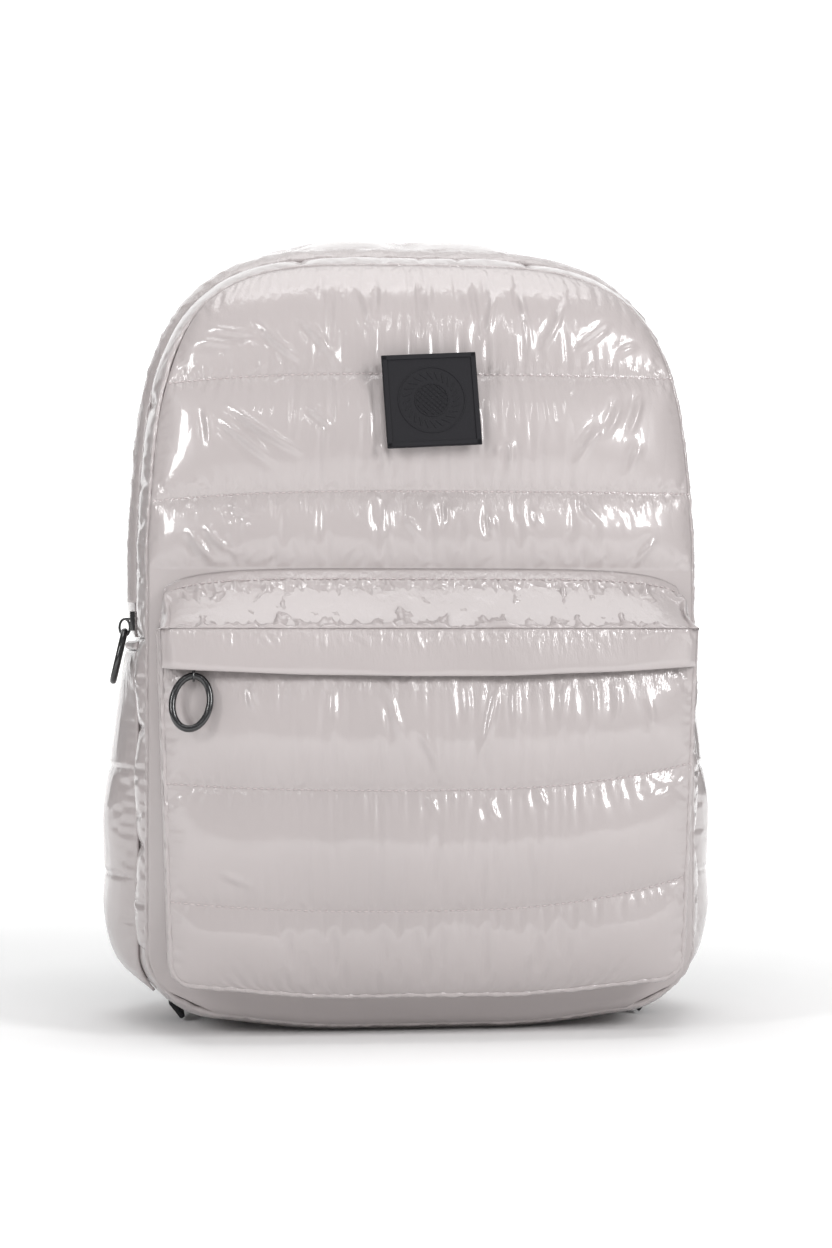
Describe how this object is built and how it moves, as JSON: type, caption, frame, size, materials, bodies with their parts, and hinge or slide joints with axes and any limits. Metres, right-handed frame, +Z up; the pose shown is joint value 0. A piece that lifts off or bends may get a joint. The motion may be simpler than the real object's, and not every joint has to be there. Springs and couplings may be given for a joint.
{
  "type": "quilted puffer backpack",
  "caption": "Padded, quilted backpack with an arched zip, a zipped front pocket, open side pockets and shoulder straps, standing on its base.",
  "frame": {"origin": "on the floor, under the middle of the outer box", "axes": "+Z up, -Y the front of the bag, +Y the wearer's side, +X to the right as the front is seen"},
  "size_m": [0.3218, 0.2296, 0.419],
  "materials": {
    "shell_film": "glossy pinkish-grey film cloth over padding",
    "zip_tape": "matt woven tape with a fine coil",
    "black_mesh": "black padded mesh cloth",
    "black_webbing": "black woven webbing",
    "black_plastic": "black moulded plastic",
    "black_rubber": "matt black moulded rubber",
    "black_enamel": "glossy black enamelled metal"
  },
  "bodies": {
    "bag": {"front_panel": "shell_film", "back_panel": "black_mesh", "zip_strip_front": "shell_film", "main_zipper": "zip_tape", "main_zip_flap": "shell_film", "zip_strip_rear": "shell_film", "base_panel": "shell_film", "side_panel_left": "shell_film", "side_panel_right": "shell_film", "pocket_front": "shell_film", "pocket_zipper": "zip_tape", "pocket_zip_flap": "shell_film", "pocket_top": "shell_film", "pocket_gusset": "shell_film", "side_pocket_left": "shell_film", "side_hem_left": "shell_film", "side_pocket_right": "shell_film", "side_hem_right": "shell_film", "shoulder_strap_left": "black_mesh", "strap_web_left": "black_webbing", "strap_buckle_left": "black_plastic", "shoulder_strap_right": "black_mesh", "strap_web_right": "black_webbing", "strap_buckle_right": "black_plastic", "haul_loop": "black_webbing", "badge": "black_rubber", "pocket_zip_slider": "black_enamel", "main_zip_slider": "black_enamel"},
    "pocket_pull": {"pocket_zip_pull": "black_enamel"},
    "main_pull": {"main_zip_pull": "black_enamel"}
  },
  "joints": [
    {"name": "pocket_pull_swing", "type": "hinge", "parent": "bag", "child": "pocket_pull", "pos_m": [-0.118, -0.10526, 0.18275], "axis": [-1, 0, 0], "range_deg": [0, 75]},
    {"name": "main_pull_swing", "type": "hinge", "parent": "bag", "child": "main_pull", "pos_m": [-0.15113, -0.02011, 0.2045], "axis": [0, 1, 0], "range_deg": [0, 100]}
  ]
}
